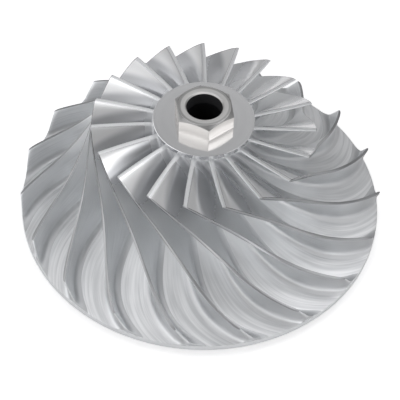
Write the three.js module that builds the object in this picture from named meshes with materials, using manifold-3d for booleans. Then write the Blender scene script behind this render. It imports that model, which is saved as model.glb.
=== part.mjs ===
// Open centrifugal compressor impeller with its lock nut, millimetres, +Z towards the nose.
// The wheel stands on its rear boss: the origin is on the shaft axis at the boss's rear face.
import * as THREE from 'three';
import { mergeVertices } from 'three/addons/utils/BufferGeometryUtils.js';
import Module from 'manifold-3d';

const wasm = await Module();
wasm.setup();

// Wheel
const OUTER_RADIUS = 125;
const BORE_RADIUS = 12;
const RIM_THICKNESS = 4.5;
const REAR_BOSS_RADIUS = 38;
const REAR_BOSS_HEIGHT = 6;
const REAR_BOSS_CHAMFER = 1;
const HUB_SPLIT_RADIUS = 46;
const SEAT_GAP = 0.3;

// Nose
const NOSE_HEIGHT_OVER_RIM = 80.5;
const NOSE_DISC_RADIUS = 33.6;
const NOSE_DISC_THICKNESS = 3;
const NOSE_DISC_CHAMFER = 0.8;
const HUB_NOSE_RADIUS = 32.75;

// Blades
const BLADE_COUNT = 19;
const INDUCER_TIP_RADIUS = 74.4;
const INDUCER_TIP_HEIGHT = 77.85;
const INDUCER_ROOT_HEIGHT = 76.8;
const EXIT_HEIGHT = 16.25;
const BLADE_OUTER_RADIUS = 124.6;
const ROOT_GAP = 0.35;
const ROOT_THICKNESS = 3.8;
const TIP_THICKNESS = 2.0;
const EDGE_THINNING = 0.6;
const EDGE_LENGTH = 0.03;
const FIRST_BLADE_ANGLE = THREE.MathUtils.degToRad(91.9);

// Inner control points of the hub line and the tip line, with heights over the rim's face
const HUB_NOSE_PULL = { radius: 35, height: 36 };
const HUB_RIM_PULL = { radius: 75, height: 12 };
const TIP_INLET_PULL = { radius: INDUCER_TIP_RADIUS, height: 24 };
const TIP_EXIT_PULL = { radius: 118, height: 20.5 };

// Nut: a thin hexagon nut for a 24 mm thread
const NUT_ACROSS_FLATS = 36;
const NUT_HEIGHT = 11.4;
const NUT_BORE_RADIUS = 11.8;
const NUT_FACE_RADIUS = 17.1;
const NUT_CHAMFER_ANGLE = THREE.MathUtils.degToRad(30);
const NUT_BORE_CHAMFER = 0.9;
const NUT_TURN = THREE.MathUtils.degToRad(10);

// Facets
const RIM_SIDES = 4 * BLADE_COUNT;
const HUB_SIDES = 2 * BLADE_COUNT;
const NUT_SIDES = 48;
const HUB_STEPS = 8;
const DISC_STEPS = 8;
const BLADE_STEPS = 15;
const SPAN_STEPS = 3;

// Fineness of the working: the step of a slope, the halvings of a search, the merge distance
const SLOPE_STEP = 0.004;
const SEARCH_HALVINGS = 40;
const MERGE_DISTANCE = 1e-4;

// Heights worked out from the driving dimensions
const DISC_REAR_Z = REAR_BOSS_HEIGHT;
const RIM_FRONT_Z = DISC_REAR_Z + RIM_THICKNESS;
const NOSE_TOP_Z = RIM_FRONT_Z + NOSE_HEIGHT_OVER_RIM;
const HUB_TOP_Z = NOSE_TOP_Z - NOSE_DISC_THICKNESS - SEAT_GAP;

// A point in radius and height, from its height over the rim's front face.
function overRim({ radius, height }) {
  return new THREE.Vector2(radius, RIM_FRONT_Z + height);
}

// The hub line runs from the nose down and out to the rim, in radius and height.
const hubLine = new THREE.CubicBezierCurve(
  new THREE.Vector2(HUB_NOSE_RADIUS, HUB_TOP_Z),
  overRim(HUB_NOSE_PULL),
  overRim(HUB_RIM_PULL),
  overRim({ radius: OUTER_RADIUS, height: 0 }),
);

// The tip line is the free edge of a blade, from the inducer tip to the exit corner.
const tipLine = new THREE.CubicBezierCurve(
  overRim({ radius: INDUCER_TIP_RADIUS, height: INDUCER_TIP_HEIGHT }),
  overRim(TIP_INLET_PULL),
  overRim(TIP_EXIT_PULL),
  overRim({ radius: BLADE_OUTER_RADIUS, height: EXIT_HEIGHT }),
);

// How far a blade has turned round the axis at a share of its length, as a cubic
// whose terms add up to the whole turn. The angles are in degrees.
const TIP_WRAP = { start: 0, turn: 58.9, linear: 1.866, square: -1.364 };
const ROOT_WRAP = { start: -2.4, turn: 65.9, linear: 2.682, square: -3.826 };

function wrapAngle(law, share) {
  const cube = 1 - law.linear - law.square;
  const turned = share * (law.linear + share * (law.square + share * cube));
  return THREE.MathUtils.degToRad(law.start + law.turn * turned);
}

// A mesh of one named sub-part with its own material.
function subPart(name, geometry, material) {
  const mesh = new THREE.Mesh(geometry, material);
  mesh.name = name;
  return mesh;
}

function milledAluminium(color, roughness) {
  return new THREE.MeshStandardMaterial({ color, roughness, metalness: 0.9 });
}

function bladeMaterial() {
  return milledAluminium(0xb9bcc0, 0.32);
}

function hubMaterial() {
  return milledAluminium(0xc3c5c8, 0.36);
}

function noseMaterial() {
  return milledAluminium(0xafb0b2, 0.28);
}

function nutMaterial() {
  return new THREE.MeshStandardMaterial({ color: 0xc9c6c2, roughness: 0.3, metalness: 1.0 });
}

// Turns a closed outline, given as [radius, height] pairs anticlockwise, about the Z axis.
function turned(outline, sides) {
  const points = outline.map(([radius, height]) => new THREE.Vector2(radius, height));
  points.push(points[0].clone());
  const geometry = new THREE.LatheGeometry(points, sides);
  geometry.rotateX(Math.PI / 2);
  return geometry;
}

// Points of the hub line between two shares of its length, both ends included.
function hubPoints(from, to, steps) {
  const points = [];
  for (let i = 0; i <= steps; i += 1) {
    const point = hubLine.getPointAt(from + ((to - from) * i) / steps);
    points.push([point.x, point.y]);
  }
  return points;
}

// The share of the hub line's length at which it reaches a radius.
function hubShareAt(radius) {
  let low = 0;
  let high = 1;
  for (let i = 0; i < SEARCH_HALVINGS; i += 1) {
    const middle = (low + high) / 2;
    if (hubLine.getPointAt(middle).x < radius) {
      low = middle;
    } else {
      high = middle;
    }
  }
  return high;
}

// The hub inside the split radius, bored through, with the hub line as its flank.
function hubCore() {
  const flank = hubPoints(0, hubShareAt(HUB_SPLIT_RADIUS), HUB_STEPS);
  const floorZ = DISC_REAR_Z + SEAT_GAP;
  const outline = [[BORE_RADIUS, floorZ], [HUB_SPLIT_RADIUS, floorZ]];
  outline.push(...flank.reverse(), [BORE_RADIUS, HUB_TOP_Z]);
  return subPart('hub_core', turned(outline, HUB_SIDES), hubMaterial());
}

// The disc that carries the blades' outer halves, round the hub.
function backDisc() {
  const innerRadius = HUB_SPLIT_RADIUS + SEAT_GAP;
  const front = hubPoints(hubShareAt(innerRadius), 1, DISC_STEPS);
  const outline = [[innerRadius, DISC_REAR_Z], [OUTER_RADIUS, DISC_REAR_Z]];
  outline.push(...front.reverse());
  return subPart('back_disc', turned(outline, RIM_SIDES), hubMaterial());
}

// The collar behind the disc, on which the wheel stands.
function rearBoss() {
  const outline = [
    [BORE_RADIUS, 0],
    [REAR_BOSS_RADIUS - REAR_BOSS_CHAMFER, 0],
    [REAR_BOSS_RADIUS, REAR_BOSS_CHAMFER],
    [REAR_BOSS_RADIUS, REAR_BOSS_HEIGHT],
    [BORE_RADIUS, REAR_BOSS_HEIGHT],
  ];
  return subPart('rear_boss', turned(outline, HUB_SIDES), hubMaterial());
}

// The flat disc between the hub's end and the nut.
function noseDisc() {
  const outline = [
    [BORE_RADIUS, NOSE_TOP_Z - NOSE_DISC_THICKNESS],
    [NOSE_DISC_RADIUS, NOSE_TOP_Z - NOSE_DISC_THICKNESS],
    [NOSE_DISC_RADIUS, NOSE_TOP_Z - NOSE_DISC_CHAMFER],
    [NOSE_DISC_RADIUS - NOSE_DISC_CHAMFER, NOSE_TOP_Z],
    [BORE_RADIUS, NOSE_TOP_Z],
  ];
  return subPart('nose_disc', turned(outline, HUB_SIDES), noseMaterial());
}

// The stretch of the hub line that a blade stands on, in shares of its length.
const ROOT_START = (HUB_TOP_Z - RIM_FRONT_Z - INDUCER_ROOT_HEIGHT) / hubLine.getLength();
const ROOT_END = hubShareAt(BLADE_OUTER_RADIUS);

// Radius, height and angle of a blade's middle surface: share runs from the leading
// edge to the exit, span from the root to the tip line.
function camber(share, span) {
  const rootShare = THREE.MathUtils.lerp(ROOT_START, ROOT_END, share);
  const hub = hubLine.getPointAt(rootShare);
  const slope = hubLine.getTangentAt(rootShare);
  const rootRadius = hub.x - slope.y * ROOT_GAP;
  const rootHeight = hub.y + slope.x * ROOT_GAP;
  const tip = tipLine.getPointAt(share);
  const rootAngle = wrapAngle(ROOT_WRAP, share);
  const tipAngle = wrapAngle(TIP_WRAP, share);
  return {
    radius: THREE.MathUtils.lerp(rootRadius, tip.x, span),
    height: THREE.MathUtils.lerp(rootHeight, tip.y, span),
    angle: THREE.MathUtils.lerp(rootAngle, tipAngle, span),
  };
}

function onCylinder({ radius, height, angle }) {
  return new THREE.Vector3(radius * Math.cos(angle), radius * Math.sin(angle), height);
}

// Half of the blade's width along the circle, so that its thickness square to the
// middle surface is the one wanted.
function halfWidthAngle(share, span) {
  const before = onCylinder(camber(Math.max(share - SLOPE_STEP, 0), span));
  const after = onCylinder(camber(Math.min(share + SLOPE_STEP, 1), span));
  const below = onCylinder(camber(share, Math.max(span - SLOPE_STEP, 0)));
  const above = onCylinder(camber(share, Math.min(span + SLOPE_STEP, 1)));
  const normal = after.sub(before).cross(above.sub(below)).normalize();
  const { radius, angle } = camber(share, span);
  const along = new THREE.Vector3(-Math.sin(angle), Math.cos(angle), 0);
  const edge = Math.min(share, 1 - share) / EDGE_LENGTH;
  const thinning = THREE.MathUtils.lerp(EDGE_THINNING, 1, Math.min(edge, 1));
  const thickness = THREE.MathUtils.lerp(ROOT_THICKNESS, TIP_THICKNESS, span) * thinning;
  return thickness / 2 / Math.abs(normal.dot(along)) / radius;
}

// Shares of the blade's length at which it has a section, with one close to each edge.
function bladeShares() {
  const shares = [0, EDGE_LENGTH];
  for (let i = 1; i < BLADE_STEPS; i += 1) {
    shares.push(i / BLADE_STEPS);
  }
  shares.push(1 - EDGE_LENGTH, 1);
  return shares;
}

// One blade as a closed skin: each section is a ring up one side and down the other.
function bladeGeometry() {
  const sections = bladeShares();
  const ringSize = 2 * (SPAN_STEPS + 1);
  const positions = [];
  for (const share of sections) {
    for (let i = 0; i < ringSize; i += 1) {
      const side = i <= SPAN_STEPS ? 1 : -1;
      const span = (side > 0 ? i : ringSize - 1 - i) / SPAN_STEPS;
      const place = camber(share, span);
      place.angle += side * halfWidthAngle(share, span);
      positions.push(...onCylinder(place).toArray());
    }
  }
  const faces = [];
  for (let s = 0; s + 1 < sections.length; s += 1) {
    for (let i = 0; i < ringSize; i += 1) {
      const a = s * ringSize + i;
      const b = s * ringSize + ((i + 1) % ringSize);
      faces.push(a, b, a + ringSize, b, b + ringSize, a + ringSize);
    }
  }
  const last = (sections.length - 1) * ringSize;
  for (let i = 0; i < SPAN_STEPS; i += 1) {
    const inner = i;
    const outer = i + 1;
    const innerBack = ringSize - 1 - i;
    const outerBack = ringSize - 2 - i;
    faces.push(inner, outerBack, outer, inner, innerBack, outerBack);
    faces.push(last + inner, last + outer, last + outerBack);
    faces.push(last + inner, last + outerBack, last + innerBack);
  }
  const geometry = new THREE.BufferGeometry();
  geometry.setAttribute('position', new THREE.Float32BufferAttribute(positions, 3));
  geometry.setIndex(faces);
  return geometry;
}

// The blades, each turned by one pitch from the one before.
function blades() {
  const group = new THREE.Group();
  for (let i = 0; i < BLADE_COUNT; i += 1) {
    const name = `blade_${String(i + 1).padStart(2, '0')}`;
    const geometry = bladeGeometry();
    geometry.rotateZ(FIRST_BLADE_ANGLE - (i * 2 * Math.PI) / BLADE_COUNT);
    group.add(subPart(name, geometry, bladeMaterial()));
  }
  return group;
}

// A closed geometry as a solid that can be cut and joined.
function solidOf(geometry) {
  const bare = geometry.index ? geometry.toNonIndexed() : geometry.clone();
  bare.deleteAttribute('normal');
  bare.deleteAttribute('uv');
  const merged = mergeVertices(bare, MERGE_DISTANCE);
  const vertProperties = new Float32Array(merged.attributes.position.array);
  const triVerts = new Uint32Array(merged.index.array);
  const mesh = new wasm.Mesh({ numProp: 3, vertProperties, triVerts });
  mesh.merge();
  return new wasm.Manifold(mesh);
}

function geometryOf(solid) {
  const mesh = solid.getMesh();
  const geometry = new THREE.BufferGeometry();
  geometry.setAttribute('position', new THREE.BufferAttribute(mesh.vertProperties, 3));
  geometry.setIndex(new THREE.BufferAttribute(mesh.triVerts, 1));
  return geometry;
}

// The hexagon nut: a six-sided prism cut to a bored ring whose upper rims are chamfered.
// Its seat is flat right out to the corners.
function hexNut() {
  const cornerRadius = NUT_ACROSS_FLATS / 2 / Math.cos(Math.PI / 6);
  const hexagon = new THREE.Shape();
  for (let i = 0; i < 6; i += 1) {
    const angle = Math.PI / 2 + NUT_TURN + (i * Math.PI) / 3;
    const x = cornerRadius * Math.cos(angle);
    const y = cornerRadius * Math.sin(angle);
    if (i === 0) {
      hexagon.moveTo(x, y);
    } else {
      hexagon.lineTo(x, y);
    }
  }
  hexagon.closePath();
  const margin = 1;
  const prism = new THREE.ExtrudeGeometry(hexagon, {
    depth: NUT_HEIGHT + 2 * margin,
    bevelEnabled: false,
  });
  prism.translate(0, 0, -margin);
  const wideRadius = cornerRadius + margin;
  const chamferDrop = (wideRadius - NUT_FACE_RADIUS) * Math.tan(NUT_CHAMFER_ANGLE);
  const ring = turned([
    [NUT_BORE_RADIUS, 0],
    [wideRadius, 0],
    [wideRadius, NUT_HEIGHT - chamferDrop],
    [NUT_FACE_RADIUS, NUT_HEIGHT],
    [NUT_BORE_RADIUS + NUT_BORE_CHAMFER, NUT_HEIGHT],
    [NUT_BORE_RADIUS, NUT_HEIGHT - NUT_BORE_CHAMFER],
  ], NUT_SIDES);
  const geometry = geometryOf(solidOf(prism).intersect(solidOf(ring)));
  geometry.translate(0, 0, NOSE_TOP_Z + SEAT_GAP);
  return subPart('hex_nut', geometry, nutMaterial());
}

const impeller = new THREE.Group();
impeller.add(rearBoss(), backDisc(), hubCore(), blades(), noseDisc(), hexNut());

export default impeller;
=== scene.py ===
"""Open centrifugal compressor impeller with its lock nut, dressed round the fixed frame.

Lengths are in metres. Angles are in radians, or in degrees where their note says so. +Z runs along
the shaft axis towards the nut. The wheel is one milled forging: a revolved hub and disc that carry
the blades. A nose disc and a hexagon nut stand on its end.
"""

import logging
import math
from dataclasses import dataclass, field
from enum import Enum
from typing import Any, Iterable, Sequence

import bpy
import numpy as np
from mathutils import Matrix, Vector


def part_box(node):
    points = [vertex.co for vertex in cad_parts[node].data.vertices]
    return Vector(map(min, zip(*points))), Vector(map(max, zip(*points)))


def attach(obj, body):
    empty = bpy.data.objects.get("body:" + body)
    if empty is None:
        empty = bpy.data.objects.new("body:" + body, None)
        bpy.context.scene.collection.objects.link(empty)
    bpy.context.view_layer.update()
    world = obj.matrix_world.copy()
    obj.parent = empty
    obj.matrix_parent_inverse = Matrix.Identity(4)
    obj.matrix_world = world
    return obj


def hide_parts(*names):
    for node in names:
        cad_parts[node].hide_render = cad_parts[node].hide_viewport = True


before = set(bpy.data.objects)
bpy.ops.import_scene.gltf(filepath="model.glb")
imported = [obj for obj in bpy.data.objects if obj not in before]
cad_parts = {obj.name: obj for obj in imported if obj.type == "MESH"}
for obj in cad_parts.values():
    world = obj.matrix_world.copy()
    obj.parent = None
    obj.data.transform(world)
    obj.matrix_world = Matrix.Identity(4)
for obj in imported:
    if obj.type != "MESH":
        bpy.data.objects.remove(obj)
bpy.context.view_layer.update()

LOG = logging.getLogger("impeller")

MM = 0.001
BODY = "root"
BLADE_NODES = sorted(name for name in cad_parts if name.startswith("blade_"))

Point = tuple[float, float]
Point3 = tuple[float, float, float]
Colour = tuple[float, float, float]
Span = tuple[float, float]


def reach(node: str) -> float:
    """Radius of a round CAD node, from the box round it."""
    low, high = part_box(node)
    return max(high.x, high.y, -low.x, -low.y)


def arc(centre: Point, radius: float, start: float, end: float, steps: int) -> list[Point]:
    """Points of a round stretch of an outline.

    Args:
        centre: Radius and height of the arc's centre.
        radius: Radius of the arc itself.
        start: Direction of its first point, in degrees from the outward axis.
        end: Direction of its last point, in degrees.
        steps: Number of stretches between the points.

    Returns:
        The points, both ends included.
    """
    angles = np.radians(np.linspace(start, end, steps + 1))
    return [(centre[0] + radius * math.cos(a), centre[1] + radius * math.sin(a)) for a in angles]


class Slot(Enum):
    """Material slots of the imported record."""

    HUB = "hub"
    BLADES = "blades"
    NOSE = "nose"
    NUT = "nut"


class Value:
    """A socket that holds a number, on which Python's operators add Math nodes."""

    def __init__(self, graph: "NodeGraph", socket: bpy.types.NodeSocket) -> None:
        """Keeps the graph that new nodes go to, and the socket."""
        self.graph = graph
        self.socket = socket

    def _math(self, operation: str, *terms: "Value | float") -> "Value":
        """The result of one Math node."""
        return self.graph.value("ShaderNodeMath", {"operation": operation}, dict(enumerate(terms)))

    def __add__(self, other: "Value | float") -> "Value":
        """self + other."""
        return self._math("ADD", self, other)

    def __radd__(self, other: float) -> "Value":
        """other + self."""
        return self._math("ADD", other, self)

    def __sub__(self, other: "Value | float") -> "Value":
        """self - other."""
        return self._math("SUBTRACT", self, other)

    def __rsub__(self, other: float) -> "Value":
        """other - self."""
        return self._math("SUBTRACT", other, self)

    def __mul__(self, other: "Value | float") -> "Value":
        """self * other."""
        return self._math("MULTIPLY", self, other)

    def __rmul__(self, other: float) -> "Value":
        """other * self."""
        return self._math("MULTIPLY", other, self)

    def __truediv__(self, other: "Value | float") -> "Value":
        """self / other."""
        return self._math("DIVIDE", self, other)

    def __rtruediv__(self, other: float) -> "Value":
        """other / self."""
        return self._math("DIVIDE", other, self)

    def root(self) -> "Value":
        """The square root."""
        return self._math("SQRT", self)

    def sine(self) -> "Value":
        """The sine of an angle in radians."""
        return self._math("SINE", self)

    def size(self) -> "Value":
        """The value without its sign."""
        return self._math("ABSOLUTE", self)

    def floor(self) -> "Value":
        """The whole number at or under the value."""
        return self._math("FLOOR", self)

    def exponential(self) -> "Value":
        """The exponential."""
        return self._math("EXPONENT", self)

    def ramp(self, low: float, high: float) -> "Value":
        """A smooth step from 0 at low to 1 at high, or the other way round if low is higher.

        Args:
            low: Value at which the result is 0.
            high: Value at which the result is 1.

        Returns:
            The step.
        """
        settings = {"interpolation_type": "SMOOTHSTEP"}
        if low <= high:
            return self.graph.value("ShaderNodeMapRange", settings, {0: self, 1: low, 2: high})
        return 1.0 - self.ramp(high, low)


class NodeGraph:
    """A node tree, with the methods that add nodes to it."""

    def __init__(self, tree: bpy.types.NodeTree) -> None:
        """Keeps the tree."""
        self.tree = tree

    def node(self, kind: str, settings: dict[str, Any], sockets: dict[Any, Any]) -> bpy.types.Node:
        """Adds a node.

        Args:
            kind: Node type.
            settings: Attributes of the node, set before its sockets are.
            sockets: Inputs by index or name: a Value, a socket to link, or a plain value.

        Returns:
            The new node.
        """
        made = self.tree.nodes.new(kind)
        for name, setting in settings.items():
            setattr(made, name, setting)
        for key, given in sockets.items():
            socket = made.inputs[key]
            source = given.socket if isinstance(given, Value) else given
            if isinstance(source, bpy.types.NodeSocket):
                self.tree.links.new(source, socket)
            else:
                socket.default_value = source
        return made

    def value(self, kind: str, settings: dict[str, Any], sockets: dict[Any, Any]) -> Value:
        """Adds a node and wraps its first output as a number."""
        return Value(self, self.node(kind, settings, sockets).outputs[0])

    def vector(self, x: Any, y: Any, z: Any) -> bpy.types.NodeSocket:
        """Three numbers as a vector."""
        return self.node("ShaderNodeCombineXYZ", {}, {0: x, 1: y, 2: z}).outputs[0]


class ShaderGraph(NodeGraph):
    """The node tree of a material or a world."""

    def __init__(self, owner: bpy.types.Material | bpy.types.World, output: str) -> None:
        """Clears the owner's tree and gives it an output node.

        Args:
            owner: The material or world.
            output: Type of the output node.
        """
        owner.use_nodes = True
        super().__init__(owner.node_tree)
        self.owner = owner
        self.tree.nodes.clear()
        self.output = self.tree.nodes.new(output)

    @classmethod
    def of_material(cls, name: str) -> "ShaderGraph":
        """A new material's graph."""
        return cls(bpy.data.materials.new(name), "ShaderNodeOutputMaterial")

    def noise(self, place: Any, scale: float, detail: float = 2.0) -> Value:
        """Noise from 0 to 1 at a place.

        Args:
            place: Vector socket.
            scale: Number of lumps over a length of 1.
            detail: How many finer layers it has.

        Returns:
            The noise.
        """
        sockets = {"Vector": place, "Scale": scale, "Detail": detail}
        return self.value("ShaderNodeTexNoise", {}, sockets)

    def place(self) -> bpy.types.NodeSocket:
        """The point being shaded, in the row frame."""
        return self.node("ShaderNodeTexCoord", {}, {}).outputs["Object"]

    def turned_place(self) -> tuple[Value, Value]:
        """Distance from the shaft axis, and height, of the point being shaded."""
        x, y, z = self.split(self.place())
        return (x * x + y * y).root(), z

    def map(self, name: str) -> bpy.types.NodeSocket:
        """The point's place on one of the mesh's own maps."""
        return self.node("ShaderNodeUVMap", {"uv_map": name}, {}).outputs[0]

    def mark(self, name: str) -> Value:
        """The point's number in one of the mesh's own attributes."""
        return Value(self, self.node("ShaderNodeAttribute", {"attribute_name": name}, {}).outputs["Fac"])

    def split(self, vector: bpy.types.NodeSocket) -> tuple[Value, Value, Value]:
        """A vector's three numbers."""
        parts = self.node("ShaderNodeSeparateXYZ", {}, {0: vector}).outputs
        return Value(self, parts[0]), Value(self, parts[1]), Value(self, parts[2])

    def blend(self, share: Any, low: Any, high: Any) -> bpy.types.NodeSocket:
        """A colour between two.

        Args:
            share: 0 for the first colour and 1 for the second.
            low: First colour, red, green and blue, or a colour socket.
            high: Second colour, likewise.

        Returns:
            The mixed colour.
        """
        # Inputs 6 and 7 and output 2 are the Mix node's own sockets for colours.
        mix = self.node("ShaderNodeMix", {"data_type": "RGBA"}, {0: share})
        for index, colour in ((6, low), (7, high)):
            if isinstance(colour, bpy.types.NodeSocket):
                self.tree.links.new(colour, mix.inputs[index])
            else:
                mix.inputs[index].default_value = (*colour, 1.0)
        return mix.outputs[2]

    def bump(self, height: Value, depth: float) -> bpy.types.NodeSocket:
        """A normal bent by a height.

        Args:
            height: Height from 0 to 1.
            depth: What a height of 1 measures.

        Returns:
            The normal.
        """
        sockets = {"Strength": 1.0, "Distance": depth, "Height": height}
        return self.node("ShaderNodeBump", {}, sockets).outputs[0]

    def finish(self, colour: Any, roughness: Any, normal: Any, metallic: Any) -> bpy.types.Node:
        """Ends the material in a Principled shader.

        Args:
            colour: Base colour, a socket or red, green and blue.
            roughness: A Value or a number.
            normal: Normal socket.
            metallic: A Value or a number.

        Returns:
            The shader's node.
        """
        base = colour if isinstance(colour, bpy.types.NodeSocket) else (*colour, 1.0)
        sockets = {"Base Color": base, "Roughness": roughness, "Normal": normal, "Metallic": metallic}
        shader = self.node("ShaderNodeBsdfPrincipled", {}, sockets)
        self.tree.links.new(shader.outputs[0], self.output.inputs["Surface"])
        return shader


# Share of its metallic look that the bore loses, where it is painted near-black as shade.
BORE_LOSS = 0.9


@dataclass(frozen=True)
class Grain:
    """Uneven dullness of a cut surface: streaks along the cutter's path, mixed with soft clouds.

    Attributes:
        first: Stretch of the streaks in the map's first direction.
        second: Stretch in its second direction.
        scale: How close together the streaks lie.
        clouds: Number of clouds in a metre.
        streak_share: Share of the streaks in the mix.
        limits: Mix up to which the surface is bright, and from which it is fully dull.
        layers: How many finer layers the streaks have.
    """

    first: float
    second: float
    scale: float
    clouds: float
    streak_share: float
    limits: Span
    layers: float = 3.0

    def streaks(self, graph: ShaderGraph, first: Value, second: Value) -> Value:
        """The streaks alone.

        Args:
            graph: The material's graph.
            first: First number of the map that they follow.
            second: Its second number.

        Returns:
            The streaks, from 0 to 1.
        """
        place = graph.vector(first * self.first, second * self.second, 0.0)
        return graph.noise(place, self.scale, self.layers)

    def dullness(self, graph: ShaderGraph, streaks: Value) -> Value:
        """How dull the surface is.

        Args:
            graph: The material's graph.
            streaks: The streaks.

        Returns:
            0 where it is bright, and 1 where it is dull.
        """
        clouds = graph.noise(graph.place(), self.clouds)
        mix = streaks * self.streak_share + clouds * (1.0 - self.streak_share)
        return mix.ramp(*self.limits)


MILLED = Grain(first=9.0, second=1.8, scale=1.6, clouds=28.0, streak_share=0.75, limits=(0.34, 0.66))
FLANK = Grain(first=3.0, second=16.0, scale=1.3, clouds=34.0, streak_share=0.5, limits=(0.4, 0.75))
TURNED = Grain(first=60.0, second=40.0, scale=9.0, clouds=60.0, streak_share=0.6, limits=(0.35, 0.8))


@dataclass(frozen=True)
class PassageFinish:
    """Milled passages, turned back and rim, and the bore of the wheel, with painted shade in the deep part,
    at the nose, on the rim's edge and in the bore.

    A pair of numbers says where something starts and where it is full.

    Attributes:
        metal: Colour of the milled aluminium.
        shade: Colour where the cutter left it duller.
        deep: Painted shade: darker colour of the deep part of the passages near the nose.
        deep_share: How much of that colour shows.
        deep_radii: Radii between which it comes.
        nose: Painted shade: darker colour of the passages' end at the nose disc.
        nose_radii: Radii between which it comes.
        bore: Painted shade: near-black colour of the bore.
        bore_fade: Distances outside the bore between which it darkens.
        rim: Colour of the rim's edge: a painted dark reflection of the shaded floor beside it.
        rim_fade: Depths under the rim's front edge between which the turned part starts.
        rim_shade_fade: Distances inwards from the rim between which its painted dark edge starts.
        roughness: Roughness of the milled floor.
        uneven: How much the streaks change it.
        bore_rougher: How much rougher the bore is.
        diffuse: Share of the light that the deep part scatters evenly.
        diffuse_radii: Radii between which it does.
        passes: Cutter passes over one passage.
        pass_depth: Measure for the depth of ridges and streaks.
        ridge_share: Depth of the ridges between passes, as a share of it.
        streak_share: Depth of the streaks, as a share of it.
        ring_pitch: Distance between the turned rings of the back.
        ring_depth: Depth of those rings.
    """

    metal: Colour = (0.90, 0.908, 0.918)
    shade: Colour = (0.69, 0.702, 0.712)
    deep: Colour = (0.85, 0.863, 0.873)
    deep_share: float = 0.85
    deep_radii: Span = (100.0 * MM, 60.0 * MM)
    nose: Colour = (0.70, 0.71, 0.72)
    nose_radii: Span = (48.0 * MM, 40.0 * MM)
    bore: Colour = (0.012, 0.012, 0.014)
    bore_fade: Span = (1.2 * MM, 0.4 * MM)
    rim: Colour = (0.80, 0.81, 0.82)
    rim_fade: Span = (0.1 * MM, 0.5 * MM)
    rim_shade_fade: Span = (0.5 * MM, 0.2 * MM)
    roughness: float = 0.50
    uneven: float = 0.1
    bore_rougher: float = 0.3
    diffuse: float = 0.55
    diffuse_radii: Span = (85.0 * MM, 45.0 * MM)
    passes: float = 13.0
    pass_depth: float = 0.008 * MM
    ridge_share: float = 0.4
    streak_share: float = 0.8
    ring_pitch: float = 1.1 * MM
    ring_depth: float = 0.004 * MM

    def material(self, bore_radius: float, outer: float, rim_face: float) -> bpy.types.Material:
        """Builds the material.

        Args:
            bore_radius: Radius inside which the wheel is dark.
            outer: Radius of the rim.
            rim_face: Height of the rim's front edge.

        Returns:
            The material.
        """
        graph = ShaderGraph.of_material("wheel_milled")
        radius, z = graph.turned_place()
        across, along, _ = graph.split(graph.map("passes"))
        back = z.ramp(rim_face - self.rim_fade[0], rim_face - self.rim_fade[1])
        front = 1.0 - back
        bore = radius.ramp(bore_radius + self.bore_fade[0], bore_radius + self.bore_fade[1])
        # Where the rim's edge carries its painted dark reflection.
        edge = radius.ramp(outer - self.rim_shade_fade[0], outer - self.rim_shade_fade[1]) * back
        streaks = MILLED.streaks(graph, across, along) * front
        streaks = streaks + TURNED.streaks(graph, radius, z) * back
        colour = graph.blend(MILLED.dullness(graph, streaks), self.metal, self.shade)
        # Painted shade: darker in the deep part of the passages, darker still at the nose, a painted dark
        # reflection on the rim's edge, and the bore near-black.
        colour = graph.blend(radius.ramp(*self.deep_radii) * front * self.deep_share, colour, self.deep)
        # Painted shade at the passages' end by the nose disc.
        colour = graph.blend(radius.ramp(*self.nose_radii) * front, colour, self.nose)
        colour = graph.blend(edge, colour, self.rim)
        # Painted shade: the bore is near-black.
        colour = graph.blend(bore, colour, self.bore)
        ridges = (across * (math.pi * self.passes)).sine().size() * self.ridge_share
        rings = (radius * (math.pi / self.ring_pitch)).sine().size() * (self.ring_depth / self.pass_depth)
        height = front * ridges + back * rings + streaks * self.streak_share
        roughness = self.roughness + (streaks - 0.5) * self.uneven + bore * self.bore_rougher
        diffuse = radius.ramp(*self.diffuse_radii) * front * self.diffuse
        metallic = (1.0 - bore * BORE_LOSS) * (1.0 - diffuse)
        graph.finish(colour, roughness, graph.bump(height, self.pass_depth), metallic)
        return graph.owner


@dataclass(frozen=True)
class BladePlace:
    """Where the point being shaded lies on its blade.

    Attributes:
        along: Share of the blade's length, 0 at the leading edge.
        span: Share of its height, 0 at the root.
        pressure: 1 on the pressure side and 0 on the suction side.
        fillet: 1 at the foot of the root's fillet and 0 from its end upwards.
    """

    along: Value
    span: Value
    pressure: Value
    fillet: Value


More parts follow.
